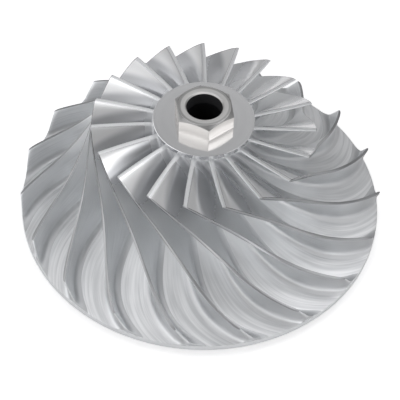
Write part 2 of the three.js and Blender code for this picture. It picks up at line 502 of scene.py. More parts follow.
@dataclass(frozen=True)
class BladeFinish:
    """Flank-milled and polished blade sides, with painted light and shade in the tones of their parts.

    A pair of numbers says where something starts and where it is full, in shares of the blade's length
    or height, or of its fillet.

    Attributes:
        metal: Colour of the milled sides.
        shade: Colour of their duller streaks.
        tone_share: Share of each blade's own tone in that dullness.
        foot: Painted highlight: colour of the fillet on the pressure side.
        foot_fade: Part of the fillet that has it.
        fillet_shade: Painted shade: darker colour of the fillet on the suction side.
        hollow_fade: Part of the fillet that has it.
        hollow_start: Where along the blade it starts.
        outlet_shade: Painted shade: darker colour of the pressure side near the exit.
        outlet_start: Where along the blade it starts.
        cover: How fully fillet_shade and outlet_shade cover the metal's colour.
        deep: Painted shade: darker colour of the suction side in the deep part of the passages.
        deep_end: Where along the blade it ends.
        inlet: Painted shade: darker colour of the suction side near the leading edge.
        inlet_end: Where along the blade it ends.
        suction_share: How fully deep and inlet keep to the suction side.
        bright: Painted highlight: near-white colour of the corner of leading edge and tip.
        bright_length: Length of that corner at the tip.
        bright_fade: How its edge fades.
        bright_start: Where up the blade it starts.
        lip_shade: Painted shade: darker colour of the leading edge itself, which dims its highlight.
        lip_end: Where along the blade it ends.
        inlet_land: Painted shade: dark colour of the turned tip near the leading edge, which dims its bright
            line.
        land: Painted shade: dark colour of the turned tip near the exit, which dims its bright line.
        land_turn: Where along the blade one gives way to the other.
        land_start: Where up the blade the turned tip starts.
        roughness: Roughness of the sides.
        uneven: How much the streaks change it.
        inlet_roughness: Roughness of the polished part near the leading edge.
        polish_end: Where along the blade the polish ends.
        polish_start: Where along the blade it starts, behind the leading edge.
        polish_rise: Where up the blade it starts, over the fillet.
        land_roughness: Roughness of the turned tip.
        diffuse: Share of the light that the inlet part scatters evenly.
        diffuse_end: Where along the blade it stops doing so.
        lines: Cutter lines from root to tip.
        streak_depth: Depth of the streaks.
        line_share: Share of that depth that the cutter lines have.
    """

    metal: Colour = (0.88, 0.892, 0.902)
    shade: Colour = (0.74, 0.753, 0.763)
    tone_share: float = 0.3
    foot: Colour = (0.80, 0.81, 0.82)
    foot_fade: Span = (0.6, 0.95)
    fillet_shade: Colour = (0.56, 0.57, 0.58)
    hollow_fade: Span = (0.0, 0.5)
    hollow_start: Span = (0.35, 0.65)
    outlet_shade: Colour = (0.54, 0.55, 0.56)
    outlet_start: Span = (0.68, 0.9)
    cover: float = 0.9
    deep: Colour = (0.73, 0.743, 0.753)
    deep_end: Span = (0.6, 0.35)
    inlet: Colour = (0.54, 0.55, 0.565)
    inlet_end: Span = (0.26, 0.12)
    suction_share: float = 0.9
    bright: Colour = (0.95, 0.955, 0.96)
    bright_length: float = 0.08
    bright_fade: Span = (-0.02, 0.015)
    bright_start: Span = (0.1, 0.4)
    lip_shade: Colour = (0.74, 0.75, 0.76)
    lip_end: Span = (0.010, 0.005)
    inlet_land: Colour = (0.38, 0.385, 0.395)
    land: Colour = (0.44, 0.445, 0.455)
    land_turn: Span = (0.2, 0.75)
    land_start: Span = (0.984, 0.992)
    roughness: float = 0.48
    uneven: float = 0.08
    inlet_roughness: float = 0.18
    polish_end: Span = (0.24, 0.08)
    polish_start: Span = (0.002, 0.007)
    polish_rise: Span = (0.04, 0.2)
    land_roughness: float = 0.38
    diffuse: float = 0.35
    diffuse_end: Span = (0.55, 0.1)
    lines: float = 22.0
    streak_depth: float = 0.003 * MM
    line_share: float = 0.6

    def _sides(self, graph: ShaderGraph, place: BladePlace, colour: Any) -> bpy.types.NodeSocket:
        """Adds the painted light and shade in which the two sides differ behind the inlet.

        Args:
            graph: The material's graph.
            place: Where the point lies.
            colour: The metal's colour.

        Returns:
            The new colour.
        """
        # Painted light and shade: a lighter foot on the pressure side's fillet, a darker fillet on the
        # suction side, and a darker pressure side near the exit.
        foot = place.fillet.ramp(*self.foot_fade)
        fillet_shade = place.fillet.ramp(*self.hollow_fade) * (1.0 - place.pressure)
        outlet_shade = place.pressure * (1.0 - foot)
        colour = graph.blend(foot * place.pressure, colour, self.foot)
        share = fillet_shade * place.along.ramp(*self.hollow_start) * self.cover
        colour = graph.blend(share, colour, self.fillet_shade)
        share = outlet_shade * place.along.ramp(*self.outlet_start) * self.cover
        return graph.blend(share, colour, self.outlet_shade)

    def _inlet(self, graph: ShaderGraph, place: BladePlace, colour: Any) -> bpy.types.NodeSocket:
        """Adds the painted shade of the deep part, the inlet and the leading edge, and the painted highlight
        of the tip's corner.

        Args:
            graph: The material's graph.
            place: Where the point lies.
            colour: The colour so far.

        Returns:
            The new colour.
        """
        # Painted shade on the suction side in the deep part and near the inlet.
        suction = 1.0 - place.pressure * self.suction_share
        colour = graph.blend(place.along.ramp(*self.deep_end) * suction, colour, self.deep)
        colour = graph.blend(place.along.ramp(*self.inlet_end) * suction, colour, self.inlet)
        # Painted highlight: the corner of leading edge and tip is near-white.
        corner = place.span * place.span * self.bright_length - place.along
        corner = corner.ramp(*self.bright_fade) * place.span.ramp(*self.bright_start)
        colour = graph.blend(corner, colour, self.bright)
        # Painted shade on the leading edge itself.
        return graph.blend(place.along.ramp(*self.lip_end), colour, self.lip_shade)

    def material(self) -> bpy.types.Material:
        """Builds the material.

        Returns:
            The material.
        """
        graph = ShaderGraph.of_material("blade_polished")
        along, span, _ = graph.split(graph.map("blade"))
        place = BladePlace(along, span, graph.mark("pressure_side"), graph.mark("fillet"))
        streaks = FLANK.streaks(graph, along, span)
        dull = FLANK.dullness(graph, streaks) * (1.0 - self.tone_share)
        dull = dull + graph.mark("blade_tone") * self.tone_share
        colour = graph.blend(dull.ramp(0.0, 1.0), self.metal, self.shade)
        colour = self._inlet(graph, place, self._sides(graph, place, colour))
        land = span.ramp(*self.land_start)
        # Painted shade: the turned tip is darker, which dims its bright line.
        land_colour = graph.blend(along.ramp(*self.land_turn), self.inlet_land, self.land)
        colour = graph.blend(land, colour, land_colour)
        polish = along.ramp(*self.polish_end) * along.ramp(*self.polish_start)
        polish = polish * span.ramp(*self.polish_rise)
        roughness = self.roughness + (streaks - 0.5) * self.uneven
        roughness = roughness + polish * (self.inlet_roughness - self.roughness)
        roughness = roughness + land * (self.land_roughness - self.roughness)
        lines = (span * (math.tau * self.lines)).sine() * 0.5 + 0.5
        normal = graph.bump(lines * self.line_share + streaks, self.streak_depth)
        diffuse = along.ramp(*self.diffuse_end) * (1.0 - land) * self.diffuse
        graph.finish(colour, roughness, normal, 1.0 - diffuse)
        return graph.owner


@dataclass(frozen=True)
class TurnedFinish:
    """A turned and polished face with fine rings, with painted shade in its bore and on any faced end and
    cone.

    Where the height of a faced end or the radius of a cone isn't given, the piece has none.

    Attributes:
        name: Name of the material.
        metal: Colour of the metal.
        shade: Colour of the duller rings.
        bore_radius: Radius of the dark bore.
        roughness: Roughness of the polished face.
        bore: Painted shade: near-black colour of the bore.
        faced: Painted shade: darker colour of a faced end, which is also rougher.
        faced_height: Height over which that end lies.
        lead: Depth of the bore's chamfer, which is painted and roughened like the end.
        lead_fade: Distance inside the cone over which that starts.
        cone: Painted shade: dark colour of the cone cut round that end.
        cone_radius: Radius at which the cone meets the end.
        cone_slope: Fall of the cone for each step outwards.
        cone_fade: Depths under the cone between which its colour ends.
        cone_start: Distance outside its inner edge over which it starts.
        band: Width of the band on the faced end that has the cone's painted shade.
        band_fade: Distance over which that band starts, to either side.
        fade: Distance over which the faced end starts.
        bore_fade: Distances outside the bore between which it darkens.
        uneven: How much the rings change the roughness.
        faced_rougher: How much rougher the faced end is.
        bore_rougher: How much rougher the bore is.
        diffuse: Share of the light that the polished face scatters evenly.
        ring_pitch: Distance between the rings.
        ring_depth: Depth of the rings.
        ring_share: Share of that depth that the even rings have.
        band_share: Share of that depth that the uneven ones have.
    """

    name: str
    metal: Colour
    shade: Colour
    bore_radius: float
    roughness: float
    bore: Colour = (0.010, 0.010, 0.012)
    faced: Colour = (0.0, 0.0, 0.0)
    faced_height: float = 1.0
    lead: float = 0.0
    lead_fade: float = 2.0 * MM
    cone: Colour = (0.0, 0.0, 0.0)
    cone_radius: float = 1.0
    cone_slope: float = 0.0
    cone_fade: Span = (0.25 * MM, 0.1 * MM)
    cone_start: float = 0.3 * MM
    band: float = 0.0
    band_fade: float = 0.4 * MM
    fade: float = 0.1 * MM
    bore_fade: Span = (0.2 * MM, 0.05 * MM)
    uneven: float = 0.06
    faced_rougher: float = 0.14
    bore_rougher: float = 0.5
    diffuse: float = 0.0
    ring_pitch: float = 0.9 * MM
    ring_depth: float = 0.0015 * MM
    ring_share: float = 0.7
    band_share: float = 0.6

    def material(self) -> bpy.types.Material:
        """Builds the material.

        Returns:
            The material.
        """
        graph = ShaderGraph.of_material(self.name)
        radius, z = graph.turned_place()
        bands = TURNED.streaks(graph, radius, z)
        dark = radius.ramp(self.bore_radius + self.bore_fade[0], self.bore_radius + self.bore_fade[1])
        outside = radius - self.cone_radius
        chamfer = outside.ramp(0.0, -self.lead_fade) * self.lead
        end = (z + chamfer - self.faced_height).ramp(-self.fade, 0.0)
        over_cone = z + outside * self.cone_slope - self.faced_height
        cone = over_cone.ramp(-self.cone_fade[0], -self.cone_fade[1]) * outside.ramp(0.0, self.cone_start)
        band = end * (outside + self.band).ramp(-self.band_fade, self.band_fade)
        colour = graph.blend(TURNED.dullness(graph, bands), self.metal, self.shade)
        # Painted shade: the faced end, the cone round it and the band between are darker.
        colour = graph.blend(end, colour, self.faced)
        colour = graph.blend(cone, colour, self.cone)
        colour = graph.blend(band, colour, self.cone)
        # Painted shade: the bore is near-black.
        colour = graph.blend(dark, colour, self.bore)
        roughness = self.roughness + (bands - 0.5) * self.uneven
        roughness = roughness + end * self.faced_rougher + dark * self.bore_rougher
        rings = (radius * (math.pi / self.ring_pitch)).sine().size()
        normal = graph.bump(rings * self.ring_share + bands * self.band_share, self.ring_depth)
        graph.finish(colour, roughness, normal, (1.0 - dark * BORE_LOSS) * (1.0 - self.diffuse))
        return graph.owner


@dataclass(frozen=True)
class FloorFinish:
    """The studio's plain pale floor, which glows a little towards the camera.

    Attributes:
        colour: Colour of the floor.
        roughness: Its roughness.
        glow: What it adds to the light that the camera sees.
        grain: Number of its soft lumps in a metre.
        grain_depth: Depth of those lumps.
    """

    colour: Colour = (0.93, 0.93, 0.93)
    roughness: float = 0.9
    glow: float = 0.52
    grain: float = 6.0
    grain_depth: float = 0.05 * MM

    def material(self) -> bpy.types.Material:
        """Builds the material.

        Returns:
            The material.
        """
        graph = ShaderGraph.of_material("floor_pale")
        normal = graph.bump(graph.noise(graph.place(), self.grain), self.grain_depth)
        shader = graph.finish(self.colour, self.roughness, normal, 0.0)
        seen = graph.node("ShaderNodeLightPath", {}, {}).outputs["Is Camera Ray"]
        glow = graph.blend(seen, (0.0, 0.0, 0.0), self.colour)
        graph.tree.links.new(glow, shader.inputs["Emission Color"])
        shader.inputs["Emission Strength"].default_value = self.glow
        return graph.owner


class GeometryTree(NodeGraph):
    """A Geometry Nodes tree with named inputs, which ends in Realize Instances and Set Material."""

    def __init__(self, name: str, with_geometry: bool) -> None:
        """Starts a tree.

        Args:
            name: Name of the tree.
            with_geometry: True if the tree works on the geometry of its object.
        """
        super().__init__(bpy.data.node_groups.new(name, "GeometryNodeTree"))
        self.identifiers: dict[str, str] = {}
        if with_geometry:
            self._socket("Geometry", "INPUT", "NodeSocketGeometry")
        self._socket("Geometry", "OUTPUT", "NodeSocketGeometry")
        self.given = self.tree.nodes.new("NodeGroupInput")

    def _socket(self, name: str, side: str, kind: str) -> Any:
        """Adds a socket to the tree's own interface."""
        return self.tree.interface.new_socket(name=name, in_out=side, socket_type=kind)

    def input(self, name: str, kind: str) -> bpy.types.NodeSocket:
        """Adds a named input.

        Args:
            name: Name that the modifier shows.
            kind: Socket type, such as NodeSocketMaterial.

        Returns:
            The socket to link from.
        """
        made = self._socket(name, "INPUT", kind)
        self.identifiers[name] = made.identifier
        return self.given.outputs[name]

    def number(self, name: str, kind: str = "NodeSocketFloat") -> Value:
        """Adds a named input that holds a number."""
        return Value(self, self.input(name, kind))

    def end(self, geometry: bpy.types.NodeSocket, material: bpy.types.NodeSocket) -> None:
        """Ends the tree: realizes the instances and gives them their material.

        Args:
            geometry: What the tree has made.
            material: The input that holds the material.
        """
        real = self.node("GeometryNodeRealizeInstances", {}, {0: geometry}).outputs[0]
        dressed = self.node("GeometryNodeSetMaterial", {}, {"Geometry": real, "Material": material})
        out = self.tree.nodes.new("NodeGroupOutput")
        self.tree.links.new(dressed.outputs[0], out.inputs[0])

    def grow(self, name: str, source: bpy.types.Mesh, values: dict[str, Any]) -> bpy.types.Object:
        """Runs the tree on a mesh and keeps the result as a plain mesh object.

        Args:
            name: Name of the piece.
            source: Mesh that the tree starts from.
            values: The tree's inputs by name.

        Returns:
            The finished piece, with no modifier left.
        """
        carrier = bpy.data.objects.new(name + "_source", source)
        bpy.context.scene.collection.objects.link(carrier)
        modifier = carrier.modifiers.new(name, "NODES")
        modifier.node_group = self.tree
        for label, value in values.items():
            modifier[self.identifiers[label]] = value
        graph = bpy.context.evaluated_depsgraph_get()
        mesh = bpy.data.meshes.new_from_object(carrier.evaluated_get(graph), depsgraph=graph)
        carrier.modifiers.remove(modifier)
        bpy.data.objects.remove(carrier)
        return plain_piece(name, mesh)


def plain_piece(name: str, mesh: bpy.types.Mesh) -> bpy.types.Object:
    """Puts a mesh in the scene as an object at the origin.

    Args:
        name: Name of the piece and of its mesh.
        mesh: The mesh.

    Returns:
        The piece.
    """
    mesh.name = name
    piece = bpy.data.objects.new(name, mesh)
    bpy.context.scene.collection.objects.link(piece)
    return piece


def mesh_of(name: str, points: np.ndarray, faces: Iterable[Sequence[int]]) -> bpy.types.Mesh:
    """A mesh from its points and faces.

    Args:
        name: Name of the mesh.
        points: One row of x, y and z for each point.
        faces: Point numbers of each face, anticlockwise from outside.

    Returns:
        The mesh.
    """
    mesh = bpy.data.meshes.new(name)
    mesh.from_pydata([tuple(map(float, row)) for row in points], [], [tuple(map(int, f)) for f in faces])
    mesh.update()
    return mesh


def smooth(mesh: bpy.types.Mesh, crease: float) -> None:
    """Shades a mesh smooth but for its creases.

    Args:
        mesh: The mesh.
        crease: Bend over which an edge stays sharp, in degrees.
    """
    mesh.polygons.foreach_set("use_smooth", np.ones(len(mesh.polygons), dtype=bool))
    mesh.set_sharp_from_angle(angle=math.radians(crease))
    mesh.update()


def read_off(items: Any, name: str, kind: type, width: int = 1) -> np.ndarray:
    """Reads a value off every point, face or face corner of a mesh.

    Args:
        items: The mesh's vertices, polygons or loops.
        name: Name of the value.
        kind: Type of its numbers.
        width: How many numbers it has.

    Returns:
        All the numbers in one row.
    """
    numbers = np.empty(len(items) * width, dtype=kind)
    items.foreach_get(name, numbers)
    return numbers


def store_map(mesh: bpy.types.Mesh, name: str, places: np.ndarray) -> None:
    """Gives a mesh a map.

    Args:
        mesh: The mesh.
        name: Name of the map.
        places: One pair of numbers for each face corner.
    """
    layer = mesh.uv_layers.new(name=name)
    layer.data.foreach_set("uv", places.astype(np.float32).ravel())


def store_mark(mesh: bpy.types.Mesh, name: str, numbers: np.ndarray) -> None:
    """Gives a mesh an attribute with one number for each point.

    Args:
        mesh: The mesh.
        name: Name of the attribute.
        numbers: The numbers.
    """
    attribute = mesh.attributes.new(name, "FLOAT", "POINT")
    attribute.data.foreach_set("value", numbers.astype(np.float32).ravel())


def settle(piece: bpy.types.Object, nodes: Sequence[str]) -> None:
    """Fixes a finished piece to the frame.

    Args:
        piece: The piece.
        nodes: CAD nodes that it stands for.
    """
    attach(piece, BODY)
    if nodes:
        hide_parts(*nodes)
    triangles = sum(len(polygon.vertices) - 2 for polygon in piece.data.polygons)
    LOG.info("%s: %d triangles for %s", piece.name, triangles, ", ".join(nodes) or "no node")


@dataclass(frozen=True)
class Meridian:
    """A cubic curve in radius and height, read at shares of its length.

    Attributes:
        start: First point.
        start_pull: Its control point.
        end_pull: Control point of the last point.
        end: Last point.
        divisions: Chords by which the length is measured.
        readings: Stretches among which a radius is looked up.
        probe: Share of the length over which a direction is measured, to either side.
    """

    start: Point
    start_pull: Point
    end_pull: Point
    end: Point
    divisions: int = 200
    readings: int = 4000
    probe: float = 1e-4

    def _raw(self, t: np.ndarray) -> np.ndarray:
        """Points at the curve's own parameter.

        Args:
            t: The parameter, from 0 to 1.

        Returns:
            Radius and height in the last axis.
        """
        t = np.asarray(t, dtype=float)[..., None]
        near = (1 - t) ** 3 * np.array(self.start) + 3 * (1 - t) ** 2 * t * np.array(self.start_pull)
        return near + 3 * (1 - t) * t**2 * np.array(self.end_pull) + t**3 * np.array(self.end)

    def _lengths(self) -> tuple[np.ndarray, np.ndarray]:
        """Measures the curve.

        Returns:
            Parameters along it, and the length up to each.
        """
        t = np.linspace(0.0, 1.0, self.divisions + 1)
        steps = np.linalg.norm(np.diff(self._raw(t), axis=0), axis=1)
        return t, np.concatenate([[0.0], np.cumsum(steps)])

    def length(self) -> float:
        """The whole length."""
        return float(self._lengths()[1][-1])

    def at(self, shares: np.ndarray) -> np.ndarray:
        """Radius and height at shares of the length, from 0 to 1."""
        t, lengths = self._lengths()
        return self._raw(np.interp(np.asarray(shares) * lengths[-1], lengths, t))

    def slope_at(self, shares: np.ndarray) -> np.ndarray:
        """Directions of the curve.

        Args:
            shares: Shares of the length.

        Returns:
            Unit steps in radius and height, in the last axis.
        """
        low = np.clip(np.asarray(shares) - self.probe, 0.0, 1.0)
        high = np.clip(np.asarray(shares) + self.probe, 0.0, 1.0)
        run = self.at(high) - self.at(low)
        return run / np.linalg.norm(run, axis=-1, keepdims=True)

    def share_at(self, radius: Any) -> Any:
        """The share of the length at which the curve reaches a radius, or each of several."""
        shares = np.linspace(0.0, 1.0, self.readings + 1)
        return np.interp(radius, self.at(shares)[:, 0], shares)


@dataclass(frozen=True)
class WrapLaw:
    """How far a blade's edge has turned round the axis at a share of its length.

    Attributes:
        start: Turn at the leading edge, in degrees.
        turn: Turn from there to the exit, in degrees.
        linear: Share of the turn that grows with the length.
        square: Share that grows with its square. The cube takes what is left.
    """

    start: float
    turn: float
    linear: float
    square: float

    def at(self, shares: np.ndarray) -> np.ndarray:
        """The turn at shares of the length.

        Args:
            shares: The shares.

        Returns:
            The angles, in radians.
        """
        cube = 1.0 - self.linear - self.square
        grown = shares * (self.linear + shares * (self.square + shares * cube))
        return np.radians(self.start + self.turn * grown)


@dataclass
class WheelLines:
    """The lines and heights that the wheel and its blades share.

    A point's second number, where it is a field, is its height over the rim's face.

    Attributes:
        outer: Radius of the disc.
        back: Height of the disc's back.
        rim: Thickness of the disc at its rim.
        hub_top: Height of the hub's end.
        nose_radius: Radius of the hub at its end.
        hub_pull: Control point of the hub's flank near the nose.
        rim_pull: Control point of the hub's flank near the rim.
        inducer_radius: Radius of the blades' tips at the leading edge.
        inducer_height: Height of those tips over the rim's face.
        inducer_pull: Height over the rim's face of the control point that keeps the tips upright there.
        exit_pull: Control point of the tips near the exit.
        exit_height: Height of the blades over the rim's face at the exit.
        blade_outer: Radius of the blades at the exit.
        hub: The hub's flank, from the nose to the rim.
        tip: The blades' free edge, from the inducer to the exit.
    """

    outer: float = reach("back_disc")
    back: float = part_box("back_disc")[0].z
    rim: float = 4.5 * MM
    hub_top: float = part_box("hub_core")[1].z
    nose_radius: float = 32.75 * MM
    hub_pull: Point = (35.0 * MM, 36.0 * MM)
    rim_pull: Point = (75.0 * MM, 12.0 * MM)
    inducer_radius: float = 74.4 * MM
    inducer_height: float = 77.85 * MM
    inducer_pull: float = 24.0 * MM
    exit_pull: Point = (118.0 * MM, 20.5 * MM)
    exit_height: float = 16.25 * MM
    blade_outer: float = 124.6 * MM
    hub: Meridian = field(init=False)
    tip: Meridian = field(init=False)

    def __post_init__(self) -> None:
        """Lays the two lines."""
        self.hub = Meridian(
            (self.nose_radius, self.hub_top),
            self.over_rim(*self.hub_pull),
            self.over_rim(*self.rim_pull),
            self.over_rim(self.outer, 0.0),
        )
        self.tip = Meridian(
            self.over_rim(self.inducer_radius, self.inducer_height),
            self.over_rim(self.inducer_radius, self.inducer_pull),
            self.over_rim(*self.exit_pull),
            self.over_rim(self.blade_outer, self.exit_height),
        )

    @property
    def rim_face(self) -> float:
        """Height of the rim's front edge."""
        return self.back + self.rim

    def over_rim(self, radius: float, height: float) -> Point:
        """A point by its radius and its height over the rim's face."""
        return radius, self.rim_face + height


@dataclass
class BladeShape:
    """One blade: a ruled middle surface between the hub line and the tip line, with its thickness.

    Attributes:
        lines: The wheel's lines.
        root_wrap: Turn of the root.
        tip_wrap: Turn of the tip.
        root_height: Height of the root's leading edge over the rim's face.
        root_gap: Distance of the CAD blade's root from the hub.
        root_thickness: Thickness at the root.
        tip_thickness: Thickness at the tip.
        edge_share: Share of the length over which the edges thin down.
        edge_thinning: Share of the thickness left at the edges.
        fillet: Radius of the fillet at the root, at the leading edge and at the exit.
        sink: How deep the blade's foot stands in the hub.
        corner: Rounding of the tip's and the exit's corners.
        nose: Length of the leading edge's elliptical nose.
        nose_blunt: Share of that length that the first section is already behind its point.
        nose_places: Where the nose has sections, in lengths of the nose.
        exit_places: Where the exit has them, in roundings from the end.
        tip_places: Where a section has points near the tip, in roundings from it.
        middle_start: Where the sections of the middle start, as a share of the thinned edge.
        length_steps: Stretches between the sections of its middle.
        span_steps: Stretches of its side between the fillet and the tip.
        fillet_steps: Stretches of the fillet.
        probe: Share of length and span over which the side's direction is measured, to either side.
        crease: Bend over which an edge stays sharp, in degrees.
    """

    lines: WheelLines
    root_wrap: WrapLaw = WrapLaw(start=-2.4, turn=65.9, linear=2.682, square=-3.826)
    tip_wrap: WrapLaw = WrapLaw(start=0.0, turn=58.9, linear=1.866, square=-1.364)
    root_height: float = 76.8 * MM
    root_gap: float = 0.35 * MM
    root_thickness: float = 3.8 * MM
    tip_thickness: float = 2.0 * MM
    edge_share: float = 0.03
    edge_thinning: float = 0.5
    fillet: Span = (2.0 * MM, 4.6 * MM)
    sink: float = 0.6 * MM
    corner: float = 0.25 * MM
    nose: float = 0.9 * MM
    nose_blunt: float = 0.03
    nose_places: tuple[float, ...] = (0.0, 0.02, 0.06, 0.13, 0.23, 0.37, 0.55, 0.77, 1.0, 1.4)
    exit_places: tuple[float, ...] = (5.0, 2.5, 1.0, 0.35, 0.0)
    tip_places: tuple[float, ...] = (3.0, 1.0, 0.35, 0.0)
    middle_start: float = 0.8
    length_steps: int = 64
    span_steps: int = 12
    fillet_steps: int = 6
    probe: float = 0.004
    crease: float = 38.0

    def camber(self, shares: np.ndarray, spans: np.ndarray) -> np.ndarray:
        """Radius, height and angle of the middle surface.

        Args:
            shares: Shares of the length, 0 at the leading edge.
            spans: Shares of the span, 0 at the root.

        Returns:
            The three numbers in the last axis.
        """
        lines = self.lines
        first = (lines.hub_top - lines.rim_face - self.root_height) / lines.hub.length()
        last = lines.hub.share_at(lines.blade_outer)
        root_shares = first + (last - first) * shares
        root = lines.hub.at(root_shares)
        slope = lines.hub.slope_at(root_shares)
        root = root + self.root_gap * np.stack([-slope[..., 1], slope[..., 0]], axis=-1)
        tip = lines.tip.at(shares)
        place = root + (tip - root) * spans[..., None]
        angle = self.root_wrap.at(shares) * (1 - spans) + self.tip_wrap.at(shares) * spans
        return np.concatenate([place, angle[..., None]], axis=-1)

    @staticmethod
    def in_space(camber: np.ndarray) -> np.ndarray:
        """Points in x, y and z from radius, height and angle."""
        radius, height, angle = camber[..., 0], camber[..., 1], camber[..., 2]
        return np.stack([radius * np.cos(angle), radius * np.sin(angle), height], axis=-1)

    def circle_share(self, shares: np.ndarray, spans: np.ndarray) -> np.ndarray:
        """How squarely a circle round the axis meets the blade's side.

        Args:
            shares: Shares of the length.
            spans: Shares of the span.

        Returns:
            Cosines between the circle and the side's normal.
        """
        before, after = np.clip(shares - self.probe, 0, 1), np.clip(shares + self.probe, 0, 1)
        along = self.in_space(self.camber(after, spans)) - self.in_space(self.camber(before, spans))
        under, over = self.camber(shares, spans - self.probe), self.camber(shares, spans + self.probe)
        normal = np.cross(along, self.in_space(over) - self.in_space(under))
        normal /= np.linalg.norm(normal, axis=-1, keepdims=True)
        angle = self.camber(shares, spans)[..., 2]
        circle = np.stack([-np.sin(angle), np.cos(angle), np.zeros_like(angle)], axis=-1)
        return np.abs((normal * circle).sum(axis=-1))

    def shares(self) -> np.ndarray:
        """Where the blade has its sections, close together at its edges.

        Returns:
            Shares of the length.
        """
        length = self.lines.tip.length()
        nose = self.nose * np.array(self.nose_places) / length
        end = self.corner * np.array(self.exit_places) / length
        start = self.edge_share * self.middle_start
        middle = np.linspace(start, 1 - start, self.length_steps + 1)
        return np.concatenate([nose, middle, 1 - end])

    def rises(self, share: float) -> np.ndarray:
        """Distances from the hub at which a section has points, from the foot to the tip.

        Args:
            share: Share of the blade's length.

        Returns:
            The distances, the first one under the hub's surface.
        """
        fillet = self.fillet_at(share)
        turns = np.linspace(0.0, math.pi / 2, self.fillet_steps + 1)
        foot = [-self.sink, *(fillet * (1 - np.cos(turns)))]
        ends = self.camber(np.array([share, share]), np.array([0.0, 1.0]))
        height = float(np.linalg.norm(ends[1, :2] - ends[0, :2])) + self.root_gap
        tip = [height - place * self.corner for place in self.tip_places]
        side = np.linspace(fillet, tip[0], self.span_steps + 1)[1:]
        return np.array([*foot, *side, *tip[1:]])

    def fillet_at(self, share: Any) -> Any:
        """Radius of the root's fillet at a share of the length, or at each of several."""
        return self.fillet[0] + (self.fillet[1] - self.fillet[0]) * share

    def half_width(self, shares: np.ndarray, spans: np.ndarray, rises: np.ndarray) -> np.ndarray:
        """Half of the blade's width along the circle, as an angle.

        Args:
            shares: Shares of the length.
            spans: Shares of the span.
            rises: Distances from the hub.

        Returns:
            The half angles.
        """
        length = self.lines.tip.length()
        inside = np.clip(spans, 0, 1)
        edge = np.clip(np.minimum(shares, 1 - shares) / self.edge_share, 0, 1)
        thinning = self.edge_thinning + (1 - self.edge_thinning) * np.sin(np.pi / 2 * edge)
        thickness = (self.root_thickness * (1 - inside) + self.tip_thickness * inside) * thinning
        radius = self.fillet_at(shares)
        under_end = np.clip(radius - np.maximum(rises, 0), 0, None)
        flare = radius - np.sqrt(np.clip(radius**2 - under_end**2, 0, None))
        from_tip = self._rounding(rises.max(axis=1, keepdims=True) - rises)
        from_exit = self._rounding((1 - shares) * length)
        half = (thickness / 2 + flare) * self._nose_share(shares * length) - np.maximum(from_tip, from_exit)
        return half / self.circle_share(shares, inside) / self.camber(shares, spans)[..., 0]

    def _nose_share(self, distance: np.ndarray) -> np.ndarray:
        """Share of the width that the elliptical nose has at a distance from the leading edge."""
        left = 1 - np.clip(self.nose_blunt + distance / self.nose, 0, 1)
        return np.sqrt(1 - left**2)

    def _rounding(self, distance: np.ndarray) -> np.ndarray:
        """How much a rounded corner takes off at a distance from the edge."""
        left = np.clip(self.corner - distance, 0, self.corner)
        return self.corner - np.sqrt(self.corner**2 - left**2)

    def mesh(self) -> bpy.types.Mesh:
        """The blade's closed skin, with what its finish reads.

        Returns:
            The mesh, with a map along and up the blade and marks for its pressure side and its fillet.
        """
        sections = self.shares()
        rises = np.array([self.rises(share) for share in sections])
        shares = np.repeat(sections[:, None], rises.shape[1], axis=1)
        spans = (rises - self.root_gap) / (rises[:, -1:] - self.root_gap)
        middle = self.camber(shares, spans)
        turn = np.zeros_like(middle)
        turn[..., 2] = self.half_width(shares, spans, rises)
        skin = self._up_and_down(self.in_space(middle + turn), self.in_space(middle - turn))
        mesh = mesh_of("blade_master", skin.reshape(-1, 3), self._faces(*skin.shape[:2]))
        place = np.stack([shares, spans], axis=-1)
        places = self._up_and_down(place, place).reshape(-1, 2)
        store_map(mesh, "blade", places[read_off(mesh.loops, "vertex_index", np.int32)])
        pressure = self._up_and_down(np.zeros_like(shares), np.ones_like(shares))
        store_mark(mesh, "pressure_side", pressure)
        fillet = np.clip(1 - rises / self.fillet_at(shares), 0, 1)
        store_mark(mesh, "fillet", self._up_and_down(fillet, fillet))
        smooth(mesh, self.crease)
        return mesh

    @staticmethod
    def _up_and_down(suction: np.ndarray, pressure: np.ndarray) -> np.ndarray:
        """What each section has on its way up the suction side and down the pressure side."""
        return np.concatenate([suction, pressure[:, ::-1]], axis=1)

    @staticmethod
    def _faces(sections: int, ring: int) -> list[tuple[int, ...]]:
        """Faces of the skin.

        Args:
            sections: Number of sections.
            ring: Points in each.

        Returns:
            Quadrilaterals round the skin and ladders across both ends.
        """
        faces = []
        for section in range(sections - 1):
            for i in range(ring):
                here, after = section * ring + i, section * ring + (i + 1) % ring
                faces.append((here, after, after + ring, here + ring))
        last = (sections - 1) * ring
        for near in range(ring // 2 - 1):
            far = near + 1
            faces.append((near, ring - 1 - near, ring - 1 - far, far))
            faces.append((last + near, last + far, last + ring - 1 - far, last + ring - 1 - near))
        return faces


